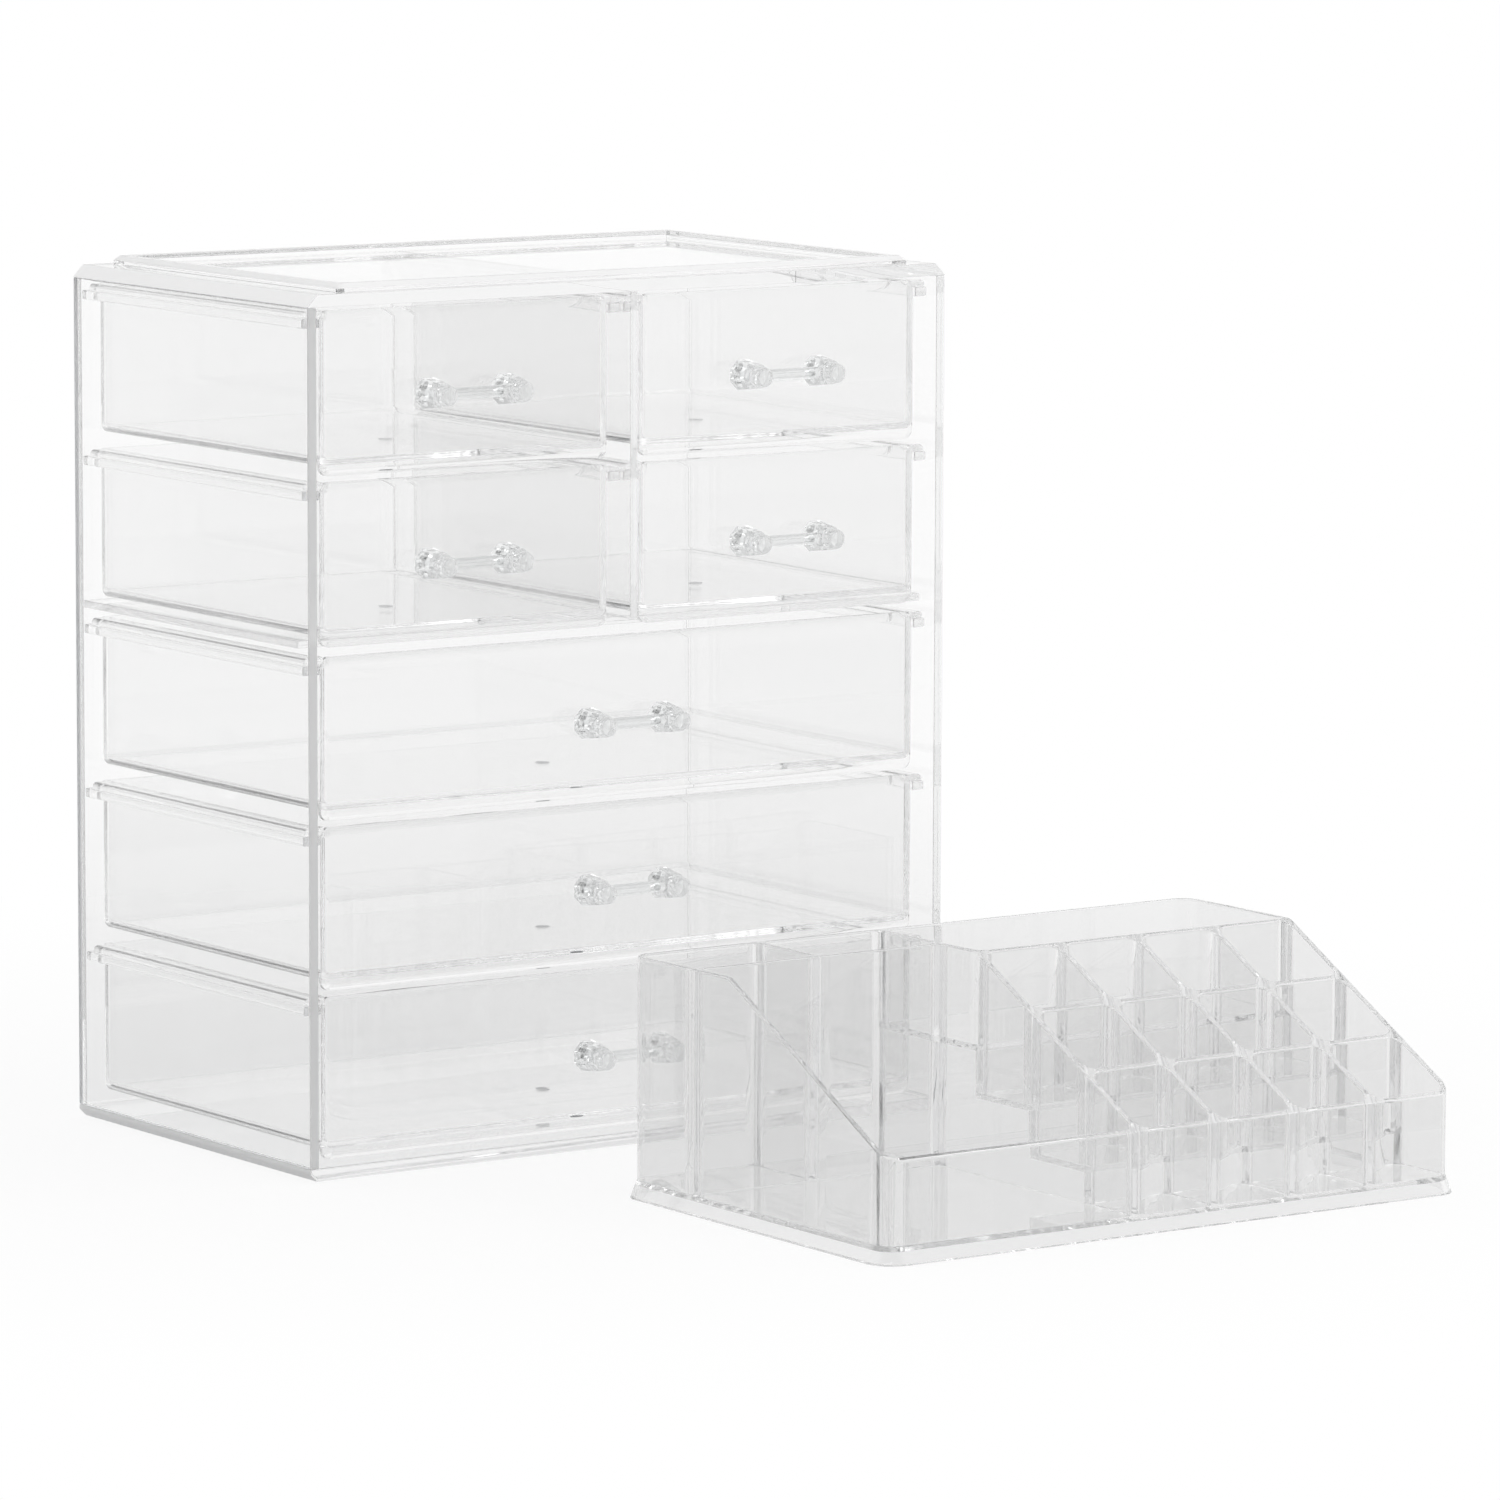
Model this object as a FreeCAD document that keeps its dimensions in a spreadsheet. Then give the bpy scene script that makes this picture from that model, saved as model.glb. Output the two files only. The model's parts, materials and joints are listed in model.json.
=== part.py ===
import FreeCAD, Part
import math
import os
import re

import Sketcher

# A clear plastic makeup organizer: a chest of seven drawers, and a stepped tray that stands in front of it.
# Millimetres; the origin is the centre of the chest's underside, +Z is up and the drawers open towards -Y.

SIZES = (
    ("case_width", 240.0, "chest, across the side panels"),
    ("case_depth", 142.0, "chest, front edge to back"),
    ("case_height", 275.0, "chest, underside to the top panel's upper face"),
    ("side_wall", 3.2, "side panel thickness"),
    ("back_wall", 3.0, "back panel thickness"),
    ("top_plate", 4.0, "top panel thickness"),
    ("base_plate", 4.0, "base panel thickness"),
    ("top_chamfer", 3.6, "bevel along the top panel's side edges"),
    ("base_chamfer", 2.4, "bevel along the base panel's side edges"),
    ("shelf_plate", 2.4, "shelf thickness, between the small and the wide rows"),
    ("divider_plate", 2.6, "upright between the small drawers"),
    ("rim_width", 4.0, "stacking rim, width of its bar"),
    ("rim_height", 2.8, "stacking rim above the top panel"),
    ("rim_chamfer", 1.6, "bevel round the rim's outer edge"),
    ("nest_clearance", 0.5, "rim to the tray's foot when the tray is stacked"),
    ("runner_width", 4.4, "runner strip, out from its panel"),
    ("runner_height", 3.0, "runner strip height"),
    ("runner_clearance", 0.25, "drawer flange above its runner"),
    ("side_clearance", 0.5, "drawer side to runner, and flange to panel"),
    ("front_recess", 5.5, "drawer front behind the chest's front edge"),
    ("upper_gap", 1.6, "top panel to the first row's drawer fronts"),
    ("row_gap", 1.9, "drawer front to the next row's"),
    ("lower_gap", 1.3, "last row's drawer front to the base panel"),
    ("shelf_room", 1.1, "added to the row gap where the shelf is"),
    ("shelf_gap", 3.0, "wide drawer's upper edge to the shelf above it"),
    ("shelf_setback", 0.5, "shelf's front edge behind the drawer fronts"),
    ("front_plate", 2.6, "drawer front thickness"),
    ("front_bevel", 2.6, "bevel round the drawer front's face, across the face"),
    ("bevel_depth", 0.9, "that bevel, front to back"),
    ("face_round", 0.6, "corner rounding of the flat face inside that bevel"),
    ("drawer_wall", 2.0, "drawer side, back and floor thickness"),
    ("drawer_radius", 2.6, "drawer's outer rounding at the back and floor"),
    ("tub_radius", 1.4, "rounding of the drawer's inner corners"),
    ("back_clearance", 1.5, "closed drawer to the back panel"),
    ("floor_rise", 3.4, "drawer's underside above its front's lower edge"),
    ("flange_plate", 2.0, "drawer flange thickness"),
    ("flange_round", 1.5, "rounding of the flange's outer upper edge"),
    ("drawer_travel", 60.0, "how far a drawer pulls out before it would tip off its runners"),
    ("handle_drop", 1.6, "handle below the middle of the drawer front"),
    ("post_spacing", 28.0, "handle post to post"),
    ("post_size", 10.4, "handle post at the drawer front, corner to corner"),
    ("post_tip", 8.0, "handle post at its outer end, corner to corner"),
    ("post_length", 9.5, "faceted stretch of a handle post"),
    ("knob_size", 6.2, "round end of a handle post"),
    ("knob_length", 3.5, "length of that round end"),
    ("knob_round", 0.8, "rounding of that end's rim"),
    ("bar_size", 3.8, "handle bar diameter"),
    ("bar_reach", 6.5, "handle bar in front of the drawer front"),
    ("peg_size", 5.0, "handle peg through the drawer front"),
    ("tray_width", 215.0, "tray, across its walls"),
    ("tray_depth", 136.0, "tray, front wall to back wall"),
    ("tray_height", 75.0, "tray, floor level to the back wall's top"),
    ("tray_front", 31.0, "tray front wall's height"),
    ("tray_wall", 2.0, "tray wall thickness"),
    ("tray_floor", 1.8, "tray floor thickness"),
    ("tray_radius", 7.0, "rounding of the tray's outer corners"),
    ("pocket_radius", 3.6, "rounding in the compartments' corners"),
    ("foot_flare", 2.2, "how far the tray's foot spreads"),
    ("foot_height", 5.5, "height over which it spreads"),
    ("foot_ledge", 0.2, "step between the foot's upper edge and the wall"),
    ("foot_recess", 3.6, "hollow under the tray's floor"),
    ("palette_width", 92.5, "tray's left part, left wall to the lipstick slots"),
    ("tall_depth", 33.0, "tall compartments, front to back, with the back wall"),
    ("shelf_depth", 53.5, "level top of the tray's walls, from the back"),
    ("slot_depth", 29.3, "raised compartment's floor below its front wall's top"),
    ("tray_offset", 57.0, "tray's centre to the right of the chest's"),
    ("tray_clearance", 3.0, "open drawer's handle to the tray"),
)
ROWS = 5
PAIRED_ROWS = 2
SLOT_COLUMNS = 4
SLOT_ROWS = 3
POST_SIDES = 8

doc = FreeCAD.newDocument("makeup_organizer")
sheet = doc.addObject("Spreadsheet::Sheet", "Sizes")
for number, (alias, value, note) in enumerate(SIZES, start=1):
    sheet.set(f"A{number}", note)
    sheet.set(f"B{number}", str(value))
    sheet.setAlias(f"B{number}", alias)
doc.recompute()

ALIASES = {alias for alias, value, note in SIZES}
nodes = []


def sized(text):
    """The same formula with each size written as its cell in the sheet."""
    return re.sub(r"[a-z_]+", lambda m: f"Sizes.{m[0]}" if m[0] in ALIASES else m[0], text)


def bind(target, name, text):
    target.setExpression(name, sized(text))


def place(target, x, y, z):
    for axis, text in zip("xyz", (x, y, z)):
        bind(target, f"Placement.Base.{axis}", text)


def box(label, size, corner):
    """A plain sheet or strip."""
    block = doc.addObject("Part::Box", label)
    for name, text in zip(("Length", "Width", "Height"), size):
        bind(block, name, text)
    place(block, *corner)
    nodes.append(block)
    return block


def new_body(label, corner):
    body = doc.addObject("PartDesign::Body", label)
    place(body, *corner)
    nodes.append(body)
    return body


def origin_plane(body, role):
    return next(item for item in body.Origin.OriginFeatures if item.Role == role)


def sketch_on(body, role, offset="0"):
    sketch = body.newObject("Sketcher::SketchObject", f"{body.Label}_sketch")
    sketch.AttachmentSupport = [(origin_plane(body, role), "")]
    sketch.MapMode = "FlatFace"
    bind(sketch, "AttachmentOffset.Base.z", offset)
    return sketch


def measure(sketch, kind, geometry, end, text):
    """A dimension from the sketch's origin to one point, which starts at the point's present place."""
    spot = sketch.getPoint(geometry, end)
    present = spot.x if kind == "DistanceX" else spot.y
    index = sketch.addConstraint(Sketcher.Constraint(kind, -1, 1, geometry, end, present))
    bind(sketch, f"Constraints[{index}]", text)


def polygon(sketch, corners):
    """A closed outline; each corner is a pair of formulas measured from the sketch's origin."""
    first = sketch.GeometryCount
    count = len(corners)
    turn = [2 * math.pi * k / count for k in range(count + 1)]
    spots = [FreeCAD.Vector(10 + 5 * math.cos(a), 10 + 5 * math.sin(a), 0) for a in turn]
    for k in range(count):
        sketch.addGeometry(Part.LineSegment(spots[k], spots[k + 1]))
    for k in range(count):
        sketch.addConstraint(Sketcher.Constraint("Coincident", first + k, 2, first + (k + 1) % count, 1))
    for k, (x, y) in enumerate(corners):
        measure(sketch, "DistanceX", first + k, 1, x)
        measure(sketch, "DistanceY", first + k, 1, y)


def rectangle(sketch, x0, y0, x1, y1):
    polygon(sketch, ((x0, y0), (x1, y0), (x1, y1), (x0, y1)))


def rounded_rectangle(sketch, x0, y0, x1, y1, radius):
    """A rectangle whose corners are arcs; each arc's centre lies one radius in from both sides."""
    first = sketch.GeometryCount
    centres = [(x1, "-", y1, "-"), (x0, "+", y1, "-"), (x0, "+", y0, "+"), (x1, "-", y0, "+")]
    starts = [(40, 40), (20, 40), (20, 20), (40, 20)]
    for k, (x, y) in enumerate(starts):
        ring = Part.Circle(FreeCAD.Vector(x, y, 0), FreeCAD.Vector(0, 0, 1), 5)
        sketch.addGeometry(Part.ArcOfCircle(ring, k * math.pi / 2, (k + 1) * math.pi / 2))
    for k in range(4):
        following = first + (k + 1) % 4
        tail = sketch.getPoint(first + k, 2)
        side = sketch.addGeometry(Part.LineSegment(tail, sketch.getPoint(following, 1)))
        sketch.addConstraint(Sketcher.Constraint("Tangent", first + k, 2, side, 1))
        sketch.addConstraint(Sketcher.Constraint("Tangent", side, 2, following, 1))
        sketch.addConstraint(Sketcher.Constraint("Horizontal" if k % 2 == 0 else "Vertical", side))
    for k in range(1, 4):
        sketch.addConstraint(Sketcher.Constraint("Equal", first, first + k))
    bind(sketch, f"Constraints[{sketch.addConstraint(Sketcher.Constraint('Radius', first, 5.0))}]", radius)
    for k in (0, 2):
        x, x_sign, y, y_sign = centres[k]
        measure(sketch, "DistanceX", first + k, 3, f"{x} {x_sign} {radius}")
        measure(sketch, "DistanceY", first + k, 3, f"{y} {y_sign} {radius}")


def circle(sketch, x, y, size):
    """A circle whose centre is x along and y up from the sketch's origin."""
    index = sketch.addGeometry(Part.Circle(FreeCAD.Vector(1, 1, 0), FreeCAD.Vector(0, 0, 1), 1))
    bind(sketch, f"Constraints[{sketch.addConstraint(Sketcher.Constraint('Diameter', index, 2.0))}]", size)
    measure(sketch, "DistanceX", index, 3, x)
    measure(sketch, "DistanceY", index, 3, y)


def feature(kind, body, sketch, length, backwards=False, taper=None):
    """A pad or a pocket of that length; it must add or remove material."""
    before = body.Shape.Volume if body.Tip else 0.0
    item = body.newObject(f"PartDesign::{kind}", f"{body.Label}_{kind.lower()}")
    item.Profile = sketch
    item.Reversed = backwards
    bind(item, "Length", length)
    if taper:
        bind(item, "TaperAngle", taper)
    doc.recompute()
    change = item.Shape.Volume - before
    if (change > 0) != (kind == "Pad"):
        raise RuntimeError(f"{item.Label} changed the volume by {change:.1f}")
    return item


def edge_names(item, wanted):
    """Names of the straight edges whose two ends pass the test."""
    names = []
    for number, edge in enumerate(item.Shape.Edges, start=1):
        straight = not edge.Degenerated and isinstance(edge.Curve, Part.Line)
        if straight and wanted(edge.Vertexes[0].Point, edge.Vertexes[1].Point):
            names.append(f"Edge{number}")
    return names


def dress(kind, body, item, names, size):
    """Round or bevel the named edges."""
    soft = body.newObject(f"PartDesign::{kind}", f"{body.Label}_{kind.lower()}")
    soft.Base = (item, names)
    bind(soft, "Radius" if kind == "Fillet" else "Size", size)
    doc.recompute()
    return soft


def same(a, b):
    return abs(a - b) < 1e-5


def upright(p, q):
    return same(p.x, q.x) and same(p.y, q.y)


# Levels and widths that several pieces share
INNER_WIDTH = "(case_width - 2 * side_wall)"
INNER_DEPTH = "(case_depth - back_wall)"
WALL_HEIGHT = "(case_height - base_plate - top_plate)"
ALL_GAPS = f"(upper_gap + lower_gap + {ROWS - 1} * row_gap + shelf_room)"
FRONT_HEIGHT = f"(({WALL_HEIGHT} - {ALL_GAPS}) / {ROWS})"
DRAWER_DEPTH = f"({INNER_DEPTH} - front_recess - back_clearance)"
RUNNER_LENGTH = f"({INNER_DEPTH} - front_recess)"
LEFT_FACE = "(side_wall - case_width / 2)"
RIGHT_FACE = "(case_width / 2 - side_wall)"
FRONT_EDGE = "-case_depth / 2"


def front_foot(row):
    """Level of the lower edge of a row's drawer fronts; row 1 is the top one."""
    raised = "shelf_room" if row <= PAIRED_ROWS else "0"
    return f"(base_plate + lower_gap + {ROWS - row} * ({FRONT_HEIGHT} + row_gap) + {raised})"


# Chest panels, bonded edge to edge
def bevelled_panel(label, thickness, chamfer, level, upper):
    """Full-width plate whose two long side edges are bevelled, above or below."""
    body = new_body(label, ("-case_width / 2", "case_depth / 2", level))
    sketch = sketch_on(body, "XZ_Plane")
    rectangle(sketch, "0", "0", "case_width", thickness)
    plate = feature("Pad", body, sketch, "case_depth")
    edge_level = sheet.get(thickness) if upper else 0.0
    width = sheet.get("case_width")
    edges = edge_names(plate, lambda p, q: same(p.z, edge_level) and same(q.z, edge_level)
                       and same(p.x, q.x) and (same(p.x, 0.0) or same(p.x, width)))
    dress("Chamfer", body, plate, edges, chamfer)


bevelled_panel("base_panel", "base_plate", "base_chamfer", "0", upper=False)
bevelled_panel("top_panel", "top_plate", "top_chamfer", "case_height - top_plate", upper=True)
box("left_side_panel", ("side_wall", "case_depth", WALL_HEIGHT),
    ("-case_width / 2", FRONT_EDGE, "base_plate"))
box("right_side_panel", ("side_wall", "case_depth", WALL_HEIGHT),
    ("case_width / 2 - side_wall", FRONT_EDGE, "base_plate"))
box("back_panel", (INNER_WIDTH, "back_wall", WALL_HEIGHT),
    (LEFT_FACE, "case_depth / 2 - back_wall", "base_plate"))

# A shelf under the small rows, which stops behind the drawer fronts, and the upright that stands on it
SHELF_LEVEL = f"({front_foot(PAIRED_ROWS + 1)} + {FRONT_HEIGHT} + shelf_gap)"
SETBACK = "(front_recess + front_plate + shelf_setback)"
DIVIDER_FOOT = f"({SHELF_LEVEL} + shelf_plate)"
box("shelf", (INNER_WIDTH, f"{INNER_DEPTH} - {SETBACK}", "shelf_plate"),
    (LEFT_FACE, f"{SETBACK} - case_depth / 2", SHELF_LEVEL))
box("divider", ("divider_plate", INNER_DEPTH, f"case_height - top_plate - {DIVIDER_FOOT}"),
    ("-divider_plate / 2", FRONT_EDGE, DIVIDER_FOOT))

# Stacking rim on the top panel, sized to the hollow under the tray's foot
RIM_INSET = "(tray_wall + nest_clearance - foot_flare)"
RIM_WIDE = f"(tray_width - 2 * {RIM_INSET})"
RIM_DEEP = f"(tray_depth - 2 * {RIM_INSET})"
rim = new_body("stacking_rim", (f"-{RIM_WIDE} / 2", f"-{RIM_DEEP} / 2", "case_height"))
rim_sketch = sketch_on(rim, "XY_Plane")
rectangle(rim_sketch, "0", "0", RIM_WIDE, RIM_DEEP)
rim_pad = feature("Pad", rim, rim_sketch, "rim_height")
rim_top = sheet.get("rim_height")
rim_edges = edge_names(rim_pad, lambda p, q: same(p.z, rim_top) and same(q.z, rim_top))
dress("Chamfer", rim, rim_pad, rim_edges, "rim_chamfer")
rim_hole = sketch_on(rim, "XY_Plane", "rim_height")
rectangle(rim_hole, "rim_width", "rim_width", f"{RIM_WIDE} - rim_width", f"{RIM_DEEP} - rim_width")
feature("Pocket", rim, rim_hole, "rim_height")


# Drawers, their runners and their handles
def drawer_cells():
    """Each drawer's name with its row and the two panel faces that it runs between."""
    for row in range(1, ROWS + 1):
        if row <= PAIRED_ROWS:
            yield f"{row}_left", row, LEFT_FACE, "(-divider_plate / 2)"
            yield f"{row}_right", row, "(divider_plate / 2)", RIGHT_FACE
        else:
            yield f"{row}", row, LEFT_FACE, RIGHT_FACE


def make_drawer(name, row, left, right):
    """Moulded tub with a taller front, a flange along each side and two peg holes for its handle."""
    flange = "runner_width"
    near = flange
    far = f"({right} - {left} - 2 * side_clearance - {flange})"
    body = new_body(f"drawer_{name}", (f"{left} + side_clearance", "front_recess - case_depth / 2",
                                       front_foot(row)))
    plan = sketch_on(body, "XY_Plane", "floor_rise")
    rectangle(plan, near, "front_plate", far, DRAWER_DEPTH)
    tub = feature("Pad", body, plan, f"{FRONT_HEIGHT} - floor_rise")
    front_y = sheet.get("front_plate")
    low = sheet.get("floor_rise")
    outer = edge_names(tub, lambda p, q: (upright(p, q) and p.y > front_y + 1)
                       or (same(p.z, low) and same(q.z, low) and max(p.y, q.y) > front_y + 1))
    tub = dress("Fillet", body, tub, outer, "drawer_radius")
    hollow = sketch_on(body, "XY_Plane", FRONT_HEIGHT)
    rectangle(hollow, f"{near} + drawer_wall", "front_plate", f"{far} - drawer_wall",
              f"{DRAWER_DEPTH} - drawer_wall")
    tub = feature("Pocket", body, hollow, f"{FRONT_HEIGHT} - floor_rise - drawer_wall")
    wall = sheet.get("drawer_wall")
    box_of = tub.Shape.BoundBox

    def inside(p):
        return box_of.XMin + wall / 2 < p.x < box_of.XMax - wall / 2 and p.y < box_of.YMax - wall / 2

    inner = edge_names(tub, lambda p, q: inside(p) and inside(q) and max(p.y, q.y) > front_y + 1
                       and (upright(p, q) or (same(p.z, low + wall) and same(q.z, low + wall))))
    tub = dress("Fillet", body, tub, inner, "tub_radius")
    panel = sketch_on(body, "XZ_Plane", "-bevel_depth")
    rounded_rectangle(panel, near, "0", far, FRONT_HEIGHT, "(front_bevel + face_round)")
    feature("Pad", body, panel, "front_plate - bevel_depth", backwards=True)
    face = sketch_on(body, "XZ_Plane", "-bevel_depth")
    rounded_rectangle(face, near, "0", far, FRONT_HEIGHT, "(front_bevel + face_round)")
    feature("Pad", body, face, "bevel_depth", taper="-atan(front_bevel / bevel_depth)")
    flanges = sketch_on(body, "XZ_Plane", "-bevel_depth")
    flange_foot = f"({FRONT_HEIGHT} - flange_plate)"
    rectangle(flanges, "0", flange_foot, f"{near} + drawer_wall / 2", FRONT_HEIGHT)
    rectangle(flanges, f"{far} - drawer_wall / 2", flange_foot, f"{far} + {flange}", FRONT_HEIGHT)
    ledge = feature("Pad", body, flanges, f"{DRAWER_DEPTH} - bevel_depth - drawer_radius", backwards=True)
    whole = ledge.Shape.BoundBox
    rims = edge_names(ledge, lambda p, q: same(p.z, whole.ZMax) and same(q.z, whole.ZMax)
                      and same(p.x, q.x) and (same(p.x, whole.XMin) or same(p.x, whole.XMax)))
    dress("Fillet", body, ledge, rims, "flange_round")
    holes = sketch_on(body, "XZ_Plane")
    middle = f"({near} + {far}) / 2"
    circle(holes, f"{middle} - post_spacing / 2", f"{FRONT_HEIGHT} / 2 - handle_drop", "peg_size")
    circle(holes, f"{middle} + post_spacing / 2", f"{FRONT_HEIGHT} / 2 - handle_drop", "peg_size")
    feature("Pocket", body, holes, "front_plate")


def make_runners(name, row, left, right):
    """Two square strips bonded to the panels on both sides of a drawer."""
    level = f"{front_foot(row)} + {FRONT_HEIGHT} - flange_plate - runner_clearance - runner_height"
    size = ("runner_width", RUNNER_LENGTH, "runner_height")
    start = "front_recess - case_depth / 2"
    box(f"runner_{name}_a", size, (left, start, level))
    box(f"runner_{name}_b", size, (f"{right} - runner_width", start, level))


def make_handle(name, row, left, right):
    """Two faceted posts with round ends, a thin bar between them and a peg behind each post."""
    body = new_body(f"handle_{name}", (f"({left} + {right}) / 2", "front_recess - case_depth / 2",
                                       f"{front_foot(row)} + {FRONT_HEIGHT} / 2 - handle_drop"))
    post = sketch_on(body, "XZ_Plane")
    angles = [360 / POST_SIDES * (k + 0.5) for k in range(POST_SIDES)]
    polygon(post, [(f"post_spacing / 2 + post_size / 2 * cos({a})", f"post_size / 2 * sin({a})")
                   for a in angles])
    lean = "-atan((post_size - post_tip) / 2 / post_length)"
    stem = feature("Pad", body, post, "post_length", taper=lean)
    knob_sketch = sketch_on(body, "XZ_Plane", "post_length")
    circle(knob_sketch, "post_spacing / 2", "0", "knob_size")
    knob = feature("Pad", body, knob_sketch, "knob_length")
    peg_sketch = sketch_on(body, "XZ_Plane")
    circle(peg_sketch, "post_spacing / 2", "0", "peg_size")
    peg = feature("Pad", body, peg_sketch, "front_plate", backwards=True)
    bar_sketch = sketch_on(body, "YZ_Plane")
    circle(bar_sketch, "-bar_reach", "0", "bar_size")
    bar = feature("Pad", body, bar_sketch, "post_spacing / 2")
    pair = body.newObject("PartDesign::Mirrored", f"{body.Label}_pair")
    pair.Originals = [stem, knob, peg, bar]
    pair.MirrorPlane = (origin_plane(body, "YZ_Plane"), [""])
    body.Tip = pair
    doc.recompute()
    tip = -sheet.get("post_length") - sheet.get("knob_length")
    ends = [f"Edge{k}" for k, edge in enumerate(pair.Shape.Edges, start=1) if same(edge.BoundBox.YMin, tip)
            and same(edge.BoundBox.YMax, tip)]
    dress("Fillet", body, pair, ends, "knob_round")


for cell in drawer_cells():
    make_drawer(*cell)
    make_runners(*cell)
    make_handle(*cell)

# The stepped tray: one moulding, walls sloping down to the front, its lipstick slots on raised floors
PULLED = "(front_recess - case_depth / 2 - post_length - knob_length - drawer_travel)"
tray = new_body("tray", ("tray_offset - tray_width / 2 - foot_flare",
                         f"{PULLED} - tray_clearance - tray_depth - 2 * foot_flare", "0"))
LEFT, FRONT = "foot_flare", "foot_flare"
RIGHT = "(foot_flare + tray_width)"
BACK = "(foot_flare + tray_depth)"
BROW = f"({BACK} - shelf_depth)"
STEP_DEPTH = f"((tray_depth - shelf_depth) / {SLOT_ROWS})"
STEP_FALL = f"((tray_height - tray_front) / {SLOT_ROWS})"
LOW_FLOOR = "(foot_recess + tray_floor)"

plan = sketch_on(tray, "XY_Plane")
rounded_rectangle(plan, LEFT, FRONT, RIGHT, BACK, "tray_radius")
block = feature("Pad", tray, plan, "tray_height")
slope = sketch_on(tray, "YZ_Plane")
polygon(slope, ((FRONT, "tray_front"), (BROW, "tray_height"), (FRONT, "tray_height")))
block = feature("Pocket", tray, slope, "tray_width + 2 * foot_flare", backwards=True)

foot_lean = "-atan((foot_flare - foot_ledge) / foot_height)"
foot_plan = sketch_on(tray, "XY_Plane")
rounded_rectangle(foot_plan, "0", "0", f"({RIGHT} + foot_flare)", f"({BACK} + foot_flare)",
                  "(tray_radius + foot_flare)")
feature("Pad", tray, foot_plan, "foot_height", taper=foot_lean)
recess = sketch_on(tray, "XY_Plane")
rounded_rectangle(recess, "tray_wall", "tray_wall", f"({RIGHT} + foot_flare - tray_wall)",
                  f"({BACK} + foot_flare - tray_wall)", "(tray_radius + foot_flare - tray_wall)")
feature("Pocket", tray, recess, "foot_recess", backwards=True, taper=foot_lean)


def compartments(floor, spans):
    """Rectangular hollows that share one floor level, each between its four wall faces."""
    sketch = sketch_on(tray, "XY_Plane", "tray_height")
    for x0, x1, y0, y1 in spans:
        rounded_rectangle(sketch, f"({x0})", f"({y0})", f"({x1})", f"({y1})", "pocket_radius")
    feature("Pocket", tray, sketch, f"tray_height - {floor}")


def slot_columns():
    """Left and right faces of the lipstick slots in one row."""
    pitch = f"((tray_width - palette_width - tray_wall) / {SLOT_COLUMNS})"
    for column in range(SLOT_COLUMNS):
        start = f"({LEFT} + palette_width + {column} * {pitch} + tray_wall)"
        yield start, f"({LEFT} + palette_width + {column + 1} * {pitch})"


def slot_row(number):
    """Slots of one row; row 0 is the one next to the front wall."""
    near = f"({FRONT} + {number} * {STEP_DEPTH} + {'tray_wall' if number == 0 else 'tray_wall / 2'})"
    far = f"({FRONT} + {number + 1} * {STEP_DEPTH} - tray_wall / 2)"
    return [(x0, x1, near, far) for x0, x1 in slot_columns()]


def raised_floor(number):
    """Floor level of row 1 and above: one slot depth below the top of the row's front wall."""
    return f"(tray_front + {number} * {STEP_FALL} - slot_depth)"


INNER_LEFT = f"({LEFT} + tray_wall)"
INNER_BACK = f"({BACK} - tray_wall)"
PALETTE = f"({LEFT} + palette_width)"
TALL_FRONT = f"({BACK} - tall_depth)"
HALF = f"(({INNER_LEFT} + {PALETTE}) / 2)"
low_spans = [
    (INNER_LEFT, PALETTE, f"{FRONT} + tray_wall", f"{TALL_FRONT} - tray_wall"),
    (INNER_LEFT, f"{HALF} - tray_wall / 2", TALL_FRONT, INNER_BACK),
    (f"{HALF} + tray_wall / 2", PALETTE, TALL_FRONT, INNER_BACK),
]
compartments(LOW_FLOOR, low_spans + slot_row(0))
compartments(raised_floor(1), slot_row(1))
compartments(raised_floor(2), slot_row(2))
compartments(raised_floor(SLOT_ROWS), [(f"{PALETTE} + tray_wall", f"{RIGHT} - tray_wall",
                                        f"{BROW} + tray_wall / 2", INNER_BACK)])

# The underside is hollow below the raised floors
for number in range(1, SLOT_ROWS + 1):
    hollow = sketch_on(tray, "XY_Plane")
    rectangle(hollow, f"{PALETTE} + tray_wall", f"{FRONT} + {number} * {STEP_DEPTH} + tray_wall / 2",
              f"{RIGHT} - tray_wall", INNER_BACK)
    feature("Pocket", tray, hollow, f"{raised_floor(number)} - tray_floor", backwards=True)

doc.recompute()
for item in doc.Objects:
    if "Invalid" in item.State or "Error" in item.State:
        raise RuntimeError(f"{item.Label} failed: {item.State}")
os.makedirs("parts", exist_ok=True)
for node in nodes:
    shape = node.Shape
    if shape.isNull() or not shape.isValid() or len(shape.Solids) != 1:
        raise RuntimeError(f"{node.Label} is not one valid solid")
for node in nodes:
    node.Shape.exportStep(f"parts/{node.Label}.step")
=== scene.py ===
import json
import math

import bmesh
import bpy
from mathutils import Matrix, Vector


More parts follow.
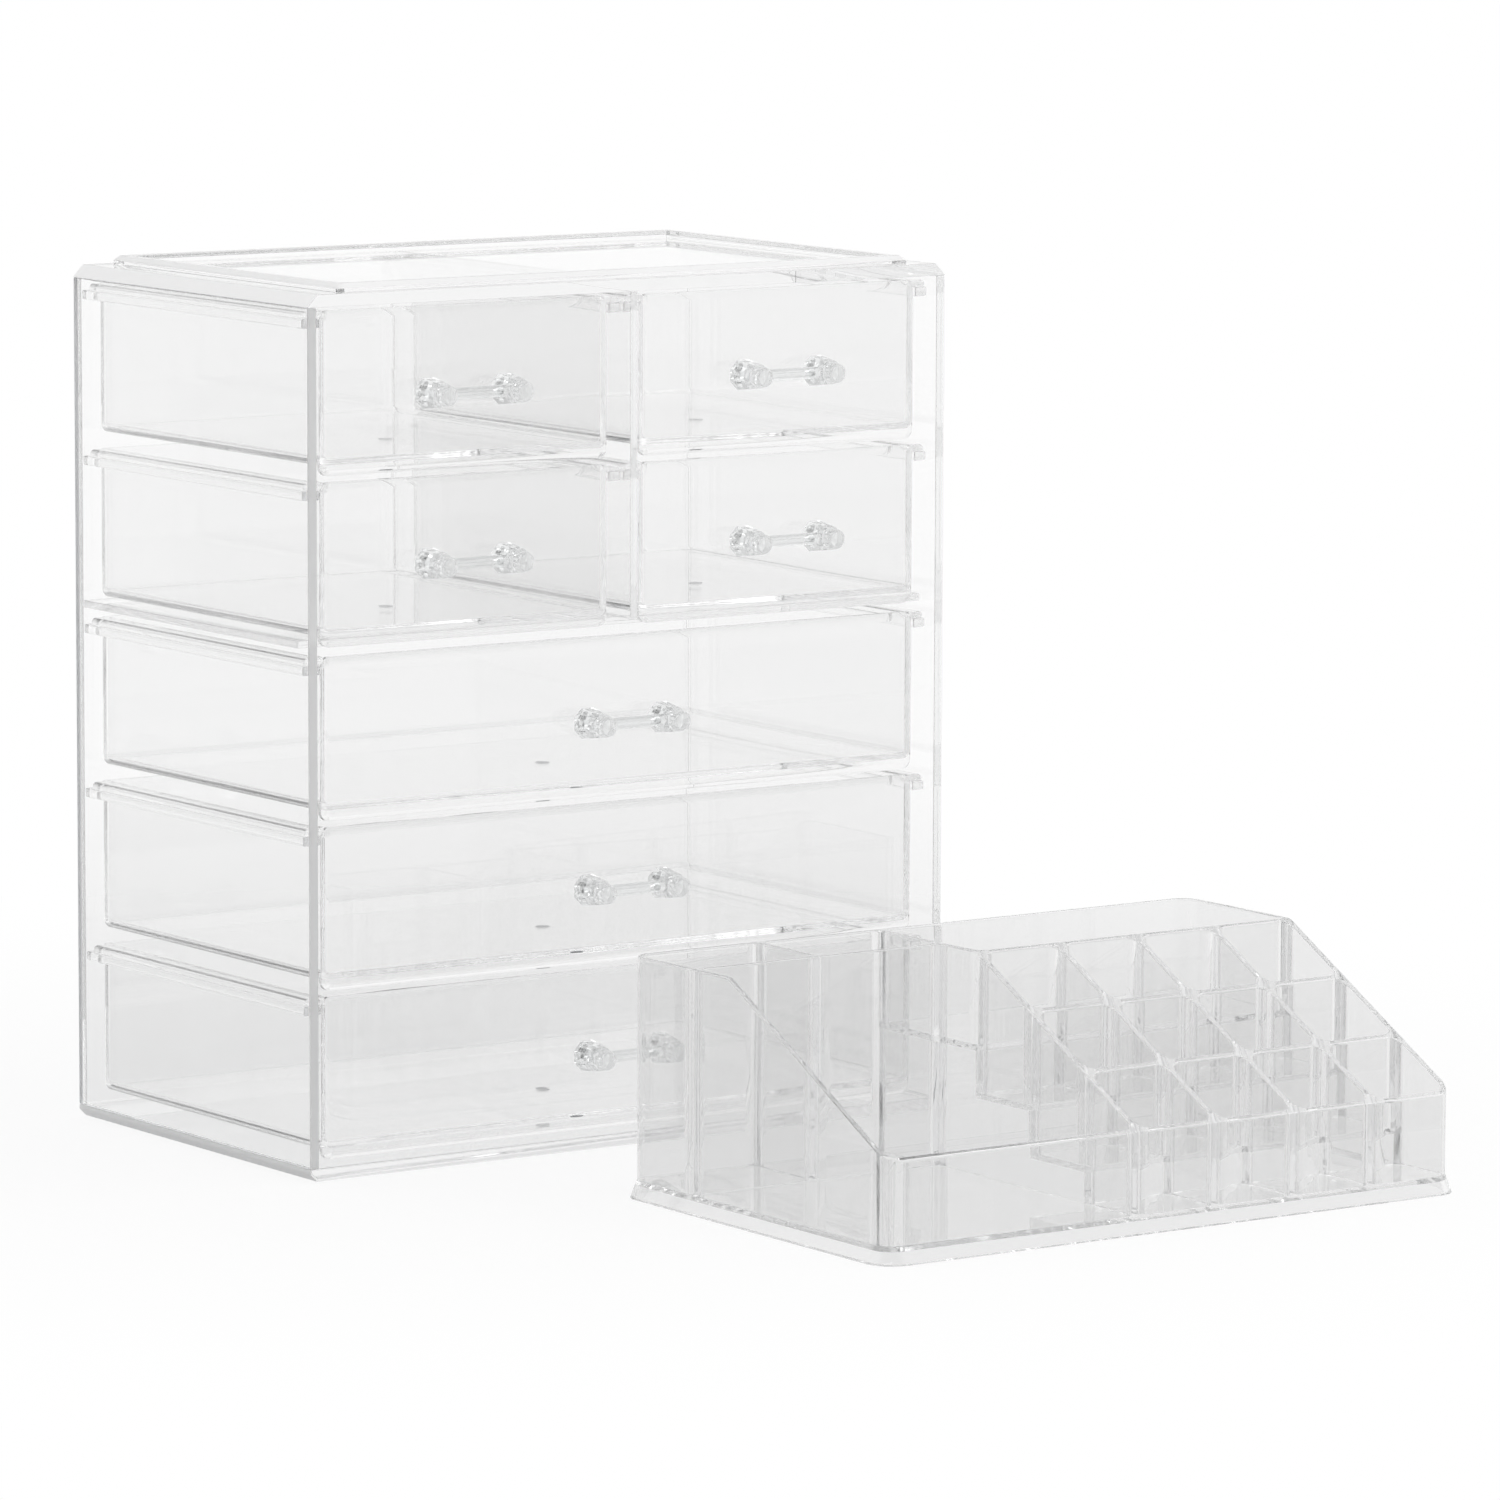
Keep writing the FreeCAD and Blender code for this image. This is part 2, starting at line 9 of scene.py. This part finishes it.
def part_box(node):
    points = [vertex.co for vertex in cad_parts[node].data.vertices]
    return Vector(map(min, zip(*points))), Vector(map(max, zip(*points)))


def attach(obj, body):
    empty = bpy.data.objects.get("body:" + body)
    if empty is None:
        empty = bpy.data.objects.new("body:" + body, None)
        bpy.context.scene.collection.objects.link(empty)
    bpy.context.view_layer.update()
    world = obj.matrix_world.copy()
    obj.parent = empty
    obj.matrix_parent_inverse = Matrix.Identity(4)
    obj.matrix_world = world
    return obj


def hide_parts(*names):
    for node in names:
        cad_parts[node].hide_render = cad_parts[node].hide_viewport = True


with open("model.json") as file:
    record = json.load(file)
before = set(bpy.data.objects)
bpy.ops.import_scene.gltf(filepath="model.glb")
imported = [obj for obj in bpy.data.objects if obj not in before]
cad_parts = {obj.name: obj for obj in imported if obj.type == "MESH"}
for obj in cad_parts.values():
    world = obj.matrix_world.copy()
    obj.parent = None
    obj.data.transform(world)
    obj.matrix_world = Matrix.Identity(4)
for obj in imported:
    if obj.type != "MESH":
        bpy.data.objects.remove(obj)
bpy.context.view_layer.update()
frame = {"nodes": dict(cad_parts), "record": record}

# Chest shell: base, top, two sides and a back, plates of clear acrylic sheet cut to size.
# Their edges are polished, which rounds them a little, and they are solvent bonded edge to edge,
# so light passes the joints and only the eased edges draw grey and white lines.
MM = 0.001
SHELL_EDGE = 0.45 * MM
BOND_DEPTH = 0.03 * MM
ON_FACE = 1e-6
ACRYLIC_IOR = 1.49
shell_panels = ["base_panel", "top_panel", "left_side_panel", "right_side_panel", "back_panel"]


def linear(code):
    """Scene-linear colour of an sRGB hex code."""
    parts = [int(code[k:k + 2], 16) / 255 for k in (1, 3, 5)]
    return [c / 12.92 if c <= 0.04045 else ((c + 0.055) / 1.055) ** 2.4 for c in parts] + [1.0]


def add_node(tree, kind, settings=None, links=None):
    """A node with its settings, by property or socket name, and its input links."""
    node = tree.nodes.new(kind)
    for key, value in (settings or {}).items():
        if isinstance(key, str) and hasattr(node, key):
            setattr(node, key, value)
        else:
            node.inputs[key].default_value = value
    for key, (source, socket) in (links or {}).items():
        tree.links.new(source.outputs[socket], node.inputs[key])
    return node


def new_material(name):
    """An empty node material, its tree, and the place in the object that its patterns read."""
    material = bpy.data.materials.new(name)
    material.use_nodes = True
    tree = material.node_tree
    tree.nodes.clear()
    return material, tree, add_node(tree, "ShaderNodeTexCoord")


def finish_plastic(tree, body, depth_tint, density):
    """Let shadow rays through the body, as clear plastic casts hardly any shadow, and tint its inside."""
    ray = add_node(tree, "ShaderNodeLightPath")
    passing = add_node(tree, "ShaderNodeBsdfTransparent", {"Color": linear("#F6F7F8")})
    surface = add_node(tree, "ShaderNodeMixShader", None,
                       {"Fac": (ray, "Is Shadow Ray"), 1: (body, "BSDF"), 2: (passing, "BSDF")})
    inside = add_node(tree, "ShaderNodeVolumeAbsorption", {"Color": linear(depth_tint), "Density": density})
    add_node(tree, "ShaderNodeOutputMaterial", None,
             {"Surface": (surface, "Shader"), "Volume": (inside, "Volume")})


def clear_plastic(name, tint, ior, wave, wave_height, haze, depth_tint, density):
    """Clear plastic: refracting, with a faint waviness, hazy patches, and grey where light runs far inside.

    wave and wave_height are the swells of the surface in millimetres; haze is the highest roughness."""
    patch = 6.0
    polish = 0.004
    material, tree, place = new_material(name)
    swell = add_node(tree, "ShaderNodeTexNoise", {"Scale": 1000 / wave, "Detail": 0.0},
                     {"Vector": (place, "Object")})
    bump = add_node(tree, "ShaderNodeBump", {"Strength": 1.0, "Distance": wave_height * MM},
                    {"Height": (swell, "Fac")})
    scuff = add_node(tree, "ShaderNodeTexNoise", {"Scale": 1000 / patch, "Detail": 1.0, "Roughness": 0.6},
                     {"Vector": (place, "Object")})
    rough = add_node(tree, "ShaderNodeMapRange",
                     {"From Min": 0.42, "From Max": 0.75, "To Min": polish, "To Max": haze},
                     {"Value": (scuff, "Fac")})
    body = add_node(tree, "ShaderNodeBsdfPrincipled",
                    {"Base Color": linear(tint), "IOR": ior, "Transmission Weight": 1.0},
                    {"Roughness": (rough, "Result"), "Normal": (bump, "Normal")})
    finish_plastic(tree, body, depth_tint, density)
    return material


def round_wall_tops(shape, tops, radius):
    """Round the upper edges of walls: rings inset into their top faces, each lowered along a quarter arc."""
    steps = 3
    turns = [math.pi / 2 * k / steps for k in range(steps + 1)]
    for k in range(steps):
        width = radius * (math.cos(turns[k]) - math.cos(turns[k + 1]))
        ring = bmesh.ops.inset_region(shape, faces=tops, thickness=width, use_even_offset=True,
                                      use_boundary=True)
        inner = {v for face in tops for v in face.verts}
        for v in {v for face in ring["faces"] for v in face.verts} - inner:
            v.co.z -= radius * (1 - math.sin(turns[k]))


def eased_copy(node, material, edge, stretch=None, cut=None, lip=None):
    """The CAD node's own shape with its triangles joined and its sharp edges rounded, standing for the node.

    stretch moves the vertices that lie on a bonded face a little into the neighbour; cut holds a test that
    picks the cut faces by their normals, and their material; lip holds a test that picks the tops of walls
    whose edges are rounded more, and that radius."""
    join_distance = 2e-6
    flat_angle, sharp_angle, smooth_angle = (math.radians(a) for a in (0.3, 33, 40))
    is_cut, cut_material = cut or (None, None)
    mesh = frame["nodes"][node].data.copy()
    mesh.materials.clear()
    mesh.materials.append(material)
    if is_cut:
        mesh.materials.append(cut_material)
    shape = bmesh.new()
    shape.from_mesh(mesh)
    bmesh.ops.remove_doubles(shape, verts=shape.verts, dist=join_distance)
    bmesh.ops.dissolve_limit(shape, angle_limit=flat_angle, verts=shape.verts, edges=shape.edges)
    if lip:
        is_top, radius = lip
        round_wall_tops(shape, [face for face in shape.faces if is_top(face)], radius)
    sharp = [e for e in shape.edges if e.is_manifold and e.calc_face_angle() > sharp_angle]
    bmesh.ops.bevel(shape, geom=sharp, offset=edge, offset_type="OFFSET", affect="EDGES", segments=2,
                    profile=0.5, material=-1, clamp_overlap=True)
    low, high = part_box(node)
    for axis, side in stretch or ():
        level = (low, high)[side][axis]
        for v in shape.verts:
            if abs(v.co[axis] - level) < ON_FACE:
                v.co[axis] += BOND_DEPTH if side else -BOND_DEPTH
    for face in shape.faces:
        face.smooth = True
        if is_cut and is_cut(face.normal):
            face.material_index = 1
    shape.to_mesh(mesh)
    shape.free()
    mesh.set_sharp_from_angle(angle=smooth_angle)
    piece = bpy.data.objects.new(f"{node}_clear", mesh)
    bpy.context.scene.collection.objects.link(piece)
    keep = piece.modifiers.new("flat_faces", "WEIGHTED_NORMAL")
    keep.keep_sharp = True
    body = next(b for b, members in frame["record"]["behaviour"]["bodies"].items() if node in members)
    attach(piece, body)
    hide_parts(node)
    return piece


acrylic_sheet = clear_plastic("clear_acrylic_sheet_polished", "#FDFDFD", ACRYLIC_IOR, wave=40.0,
                              wave_height=0.010, haze=0.02, depth_tint="#A3A4A5", density=0.8)

# Cut edges on the left of the chest, and the rim's left and front bevels, have a satin finish that shows an
# even grey where the clear faces beside them show what lies behind. This grey is partly painted shade: a
# rough finish is real on cut sheet, but it is given only to the edges on the left and front, where they look
# shaded, while the matching cut edges on the right and at the back are polished clear.
STEEP = 0.3
NEARLY_LEVEL = 0.95


def frosted_plastic(name, tint, rough_low, rough_high, through):
    """Cut plastic: a fine saw grain in the roughness scatters the light that comes through the face."""
    grain_size = 1.5
    material, tree, place = new_material(name)
    grain = add_node(tree, "ShaderNodeTexNoise", {"Scale": 1000 / grain_size, "Detail": 2.0},
                     {"Vector": (place, "Object")})
    rough = add_node(tree, "ShaderNodeMapRange", {"To Min": rough_low, "To Max": rough_high},
                     {"Value": (grain, "Fac")})
    face = add_node(tree, "ShaderNodeBsdfPrincipled",
                    {"Base Color": linear(tint), "IOR": ACRYLIC_IOR, "Transmission Weight": through},
                    {"Roughness": (rough, "Result")})
    finish_plastic(tree, face, depth_tint="#A3A4A5", density=0.8)
    return material


# Painted shade: these satin and matt finishes go only on edges that face left or front, so that those edges
# draw grey
satin_edge_painted_shade = frosted_plastic("satin_acrylic_edge_painted_shade", "#F1F1F1", 0.32, 0.5, through=0.5)
matt_bevel_painted_shade = frosted_plastic("matt_acrylic_bevel_painted_shade", "#FDFDFD", 0.3, 0.45, through=0.15)


def faces_front_or_back(normal):
    return abs(normal.y) > STEEP


def faces_left(normal):
    return normal.x < -STEEP


def slopes_left_or_front(normal):
    return STEEP < normal.z < NEARLY_LEVEL and min(normal.x, normal.y) < -STEEP


shell_cuts = {"left_side_panel": (faces_front_or_back, satin_edge_painted_shade), "top_panel": (faces_left, matt_bevel_painted_shade),
              "base_panel": (faces_left, satin_edge_painted_shade)}
shell_bonds = {"left_side_panel": [(2, 0), (2, 1)], "right_side_panel": [(2, 0), (2, 1)],
               "back_panel": [(0, 0), (0, 1), (2, 0), (2, 1)]}
for panel in shell_panels:
    eased_copy(panel, acrylic_sheet, SHELL_EDGE, stretch=shell_bonds.get(panel),
               cut=shell_cuts.get(panel))

# The shelf under the small drawers and the upright between them: thinner plates of the same sheet,
# bonded to the sides, the back and each other. The shelf stops behind the drawer fronts.
SHELF_EDGE = 0.3 * MM
eased_copy("shelf", acrylic_sheet, SHELF_EDGE, [(0, 0), (0, 1), (1, 1)])
eased_copy("divider", acrylic_sheet, SHELF_EDGE, [(1, 1), (2, 0), (2, 1)])

# Runner strips: square acrylic strips, one on each side of a drawer, under its flanges.
# They are cut from the same sheet and bonded along the panels and against the back.
drawer_names = ["1_left", "1_right", "2_left", "2_right", "3", "4", "5"]
RUNNER_EDGE = 0.6 * MM
for name in drawer_names:
    eased_copy(f"runner_{name}_a", acrylic_sheet, RUNNER_EDGE, [(0, 0), (1, 1)])
    eased_copy(f"runner_{name}_b", acrylic_sheet, RUNNER_EDGE, [(0, 1), (1, 1)])

# Stacking rim: a bevelled frame of acrylic strip; the tray's foot fits round it.
# It is bonded on top of the chest, so it has no lower edge of its own.
RIM_EDGE = 0.3 * MM
# Painted shade: only the rim's left and front slopes take the matt bevel finish
eased_copy("stacking_rim", acrylic_sheet, RIM_EDGE, stretch=[(2, 0)],
           cut=(slopes_left_or_front, matt_bevel_painted_shade))

# Drawers: one-piece tubs of clear polystyrene, injection moulded through a gate under the floor.
# The polished mould gives glassy walls with slight swells where the plastic shrank; the gate, broken off a
# little in front of the floor's middle, leaves a rough spot that looks grey.
POLYSTYRENE_IOR = 1.57
DRAWER_EDGE = 0.4 * MM
FLOOR_RISE = 3.4 * MM
GATE_RADIUS = 2.4 * MM
GATE_TIP = 0.8 * GATE_RADIUS
GATE_HEIGHT = 0.4 * MM
GATE_AHEAD = 18.0 * MM
moulded_drawer = clear_plastic("clear_polystyrene_moulded", "#FAFAFA", POLYSTYRENE_IOR, wave=26.0,
                               wave_height=0.02, haze=0.025, depth_tint="#A1A3A4", density=0.8)
broken_gate = frosted_plastic("broken_polystyrene_gate_rough", "#A6A7A8", 0.4, 0.6, through=0.2)
for name in drawer_names:
    eased_copy(f"drawer_{name}", moulded_drawer, DRAWER_EDGE)
    low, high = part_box(f"drawer_{name}")
    mark = bmesh.new()
    bmesh.ops.create_cone(mark, cap_ends=True, segments=32, radius1=GATE_TIP, radius2=GATE_RADIUS,
                          depth=GATE_HEIGHT + BOND_DEPTH)
    spot = ((low[0] + high[0]) / 2, (low[1] + high[1]) / 2 - GATE_AHEAD,
            low[2] + FLOOR_RISE + (BOND_DEPTH - GATE_HEIGHT) / 2)
    bmesh.ops.translate(mark, verts=mark.verts, vec=spot)
    mark_mesh = bpy.data.meshes.new(f"drawer_{name}_gate_mark")
    mark.to_mesh(mark_mesh)
    mark.free()
    mark_mesh.materials.append(broken_gate)
    mark_piece = bpy.data.objects.new(f"drawer_{name}_gate_mark", mark_mesh)
    bpy.context.scene.collection.objects.link(mark_piece)
    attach(mark_piece, f"drawer_{name}")

# Handles: two faceted posts and a thin bar in one clear moulding, its pegs glued into the drawer front.
# A hair of air round the pegs and behind the posts keeps the two plastics' faces apart, so the facets
# sparkle.
HANDLE_EDGE = 0.22 * MM
POST_SPACING = 28.0 * MM
PEG_SLACK = 0.05 * MM
moulded_handle = clear_plastic("clear_polystyrene_faceted", "#F3F4F4", POLYSTYRENE_IOR, wave=12.0,
                               wave_height=0.01, haze=0.03, depth_tint="#A1A3A4", density=4.0)
for name in drawer_names:
    handle = eased_copy(f"handle_{name}", moulded_handle, HANDLE_EDGE)
    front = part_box(f"drawer_{name}")[0][1]
    low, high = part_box(f"handle_{name}")
    middle = (Vector(low) + Vector(high)) / 2
    for v in handle.data.vertices:
        if v.co.y > front + ON_FACE:
            post = middle.x + math.copysign(POST_SPACING / 2, v.co.x - middle.x)
            out = Vector((v.co.x - post, 0, v.co.z - middle.z))
            v.co -= out.normalized() * PEG_SLACK
        elif v.co.y > front - ON_FACE:
            v.co.y -= PEG_SLACK

# Tray: one clear moulding with sloping walls, rounded along their tops, and stepped floors.
# Its deep thin walls cooled unevenly, so they show soft swells, and the thicker foot looks greyer.
TRAY_EDGE = 0.7 * MM
TRAY_LIP = 0.65 * MM
LEVEL = 0.99
SLOPING_UP = 0.5
NEAR_TOP = 1e-5
tray_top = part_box("tray")[1][2]
moulded_tray = clear_plastic("clear_polystyrene_tray", "#F8F8F8", POLYSTYRENE_IOR, wave=22.0,
                             wave_height=0.05, haze=0.03, depth_tint="#959798", density=2.5)


def is_wall_top(face):
    highest = face.normal.z > LEVEL and face.calc_center_median().z > tray_top - NEAR_TOP
    return highest or (face.normal.z > SLOPING_UP and face.normal.y < -STEEP)


eased_copy("tray", moulded_tray, TRAY_EDGE, lip=(is_wall_top, TRAY_LIP))

# Floor: a white sweep that keeps the object's soft shadow near it and goes over into plain white.
# For rays that reach it through or off the plastic its glow is a little darker close by: a painted shadow
# round the object.
FLOOR_DROP = 0.4 * MM
FLOOR_RADIUS = 30.0
scene = bpy.context.scene
floor_mesh = bpy.data.meshes.new("floor")
floor_shape = bmesh.new()
bmesh.ops.create_circle(floor_shape, cap_ends=True, segments=96, radius=FLOOR_RADIUS)
bmesh.ops.translate(floor_shape, verts=floor_shape.verts, vec=(0, 0, -FLOOR_DROP))
floor_shape.to_mesh(floor_mesh)
floor_shape.free()
floor = bpy.data.objects.new("floor", floor_mesh)
scene.collection.objects.link(floor)
floor_paint, tree, place = new_material("white_studio_sweep")
reach = add_node(tree, "ShaderNodeVectorMath", {"operation": "LENGTH"}, {0: (place, "Object")})
far = add_node(tree, "ShaderNodeMapRange",
               {"interpolation_type": "SMOOTHSTEP", "From Min": 0.15, "From Max": 0.5,
                "To Min": 0.85, "To Max": 1.0},
               {"Value": (reach, "Value")})
ray = add_node(tree, "ShaderNodeLightPath")
seen = add_node(tree, "ShaderNodeMath", {"operation": "MAXIMUM"},
                {0: (ray, "Is Camera Ray"), 1: (ray, "Is Transmission Ray")})
shown = add_node(tree, "ShaderNodeMath", {"operation": "MAXIMUM"},
                 {0: (seen, "Value"), 1: (ray, "Is Glossy Ray")})
share = add_node(tree, "ShaderNodeMath", {"operation": "MULTIPLY"}, {0: (shown, "Value"), 1: (far, "Result")})
paint = add_node(tree, "ShaderNodeBsdfDiffuse", {"Color": linear("#F2F2F2")})
# Painted shadow: the glow seen through or off the plastic is darker within 0.8 m of the object
painted_shade_near_object = add_node(tree, "ShaderNodeMapRange", {"From Min": 0.1, "From Max": 0.8, "To Min": 0.86, "To Max": 1.0},
                {"Value": (reach, "Value")})
level = add_node(tree, "ShaderNodeMath", {"operation": "MAXIMUM"},
                 {0: (ray, "Is Camera Ray"), 1: (painted_shade_near_object, "Result")})
glow = add_node(tree, "ShaderNodeEmission", {"Color": linear("#FFFFFF")}, {"Strength": (level, "Value")})
mixed = add_node(tree, "ShaderNodeMixShader", None,
                 {"Fac": (share, "Value"), 1: (paint, "BSDF"), 2: (glow, "Emission")})
add_node(tree, "ShaderNodeOutputMaterial", None, {"Surface": (mixed, "Shader")})
floor_mesh.materials.append(floor_paint)

# Room: white all round for the camera. For light it is a little darker overhead and on one side, low on the
# left in front, so that clear edges and bevels find something grey to show.
DARK_SIDE = (-0.534, -0.778, 0.33)
world = bpy.data.worlds.new("white_studio")
scene.world = world
world.use_nodes = True
tree = world.node_tree
tree.nodes.clear()
place = add_node(tree, "ShaderNodeTexCoord")
parts = add_node(tree, "ShaderNodeSeparateXYZ", None, {"Vector": (place, "Generated")})
height = add_node(tree, "ShaderNodeMapRange",
                  {"interpolation_type": "SMOOTHSTEP", "From Min": 0.05, "From Max": 0.9,
                   "To Min": 1.0, "To Max": 0.8},
                  {"Value": (parts, "Z")})
toward = add_node(tree, "ShaderNodeVectorMath", {"operation": "DOT_PRODUCT", 1: DARK_SIDE},
                  {0: (place, "Generated")})
unlit = add_node(tree, "ShaderNodeMapRange",
                 {"interpolation_type": "SMOOTHSTEP", "From Min": 0.5, "From Max": 0.9,
                  "To Min": 1.0, "To Max": 0.45},
                 {"Value": (toward, "Value")})
dimmed = add_node(tree, "ShaderNodeMath", {"operation": "MULTIPLY"},
                  {0: (height, "Result"), 1: (unlit, "Result")})
ray = add_node(tree, "ShaderNodeLightPath")
room = add_node(tree, "ShaderNodeBackground", {"Color": linear("#FFFFFF")}, {"Strength": (dimmed, "Value")})
white = add_node(tree, "ShaderNodeBackground", {"Color": linear("#FFFFFF"), "Strength": 1.0})
mixed = add_node(tree, "ShaderNodeMixShader", None,
                 {"Fac": (ray, "Is Camera Ray"), 1: (room, "Background"), 2: (white, "Background")})
add_node(tree, "ShaderNodeOutputWorld", None, {"Surface": (mixed, "Shader")})

# Lamps: two large softboxes above the front, the stronger one on the left.
LAMP_TARGET = Vector((0, -0.1, 0.1))
lamps = [("key_softbox", (-1.4, -1.2, 1.9), 1.6, 16.0), ("fill_softbox", (1.7, -0.9, 1.4), 1.4, 9.0)]
for name, spot, size, power in lamps:
    lamp = bpy.data.lights.new(name, "AREA")
    lamp.shape = "SQUARE"
    lamp.size = size
    lamp.energy = power
    turn = (LAMP_TARGET - Vector(spot)).to_track_quat("-Z", "Y").to_matrix().to_4x4()
    holder = bpy.data.objects.new(name, lamp)
    holder.matrix_world = Matrix.Translation(spot) @ turn
    scene.collection.objects.link(holder)

# Light passes many clear walls, so paths may bounce more often than Blender's own setting allows
CLEAR_BOUNCES = 96
scene.cycles.max_bounces = CLEAR_BOUNCES
scene.cycles.transmission_bounces = CLEAR_BOUNCES
scene.cycles.glossy_bounces = CLEAR_BOUNCES
scene.cycles.transparent_max_bounces = 40

# Camera at the photograph's viewing angle, a long lens 2.7 m away
YAW, PITCH, ROLL = math.radians(34.639), math.radians(7.656), math.radians(-0.189)
EYE = Vector((-1.4966, -2.3018, 0.4874))
LENS = 206.4
ahead = Vector((math.sin(YAW) * math.cos(PITCH), math.cos(YAW) * math.cos(PITCH), -math.sin(PITCH)))
aside = Vector((math.cos(YAW), -math.sin(YAW), 0.0))
down = ahead.cross(aside)
right = math.cos(ROLL) * aside + math.sin(ROLL) * down
up = math.sin(ROLL) * aside - math.cos(ROLL) * down
camera_data = bpy.data.cameras.new("camera")
camera_data.lens = LENS
camera_data.sensor_width = 36.0
camera_data.clip_end = 100.0
camera = bpy.data.objects.new("camera", camera_data)
camera.matrix_world = Matrix.Translation(EYE) @ Matrix((right, up, -ahead)).transposed().to_4x4()
scene.collection.objects.link(camera)
scene.camera = camera
scene.view_settings.view_transform = "Standard"
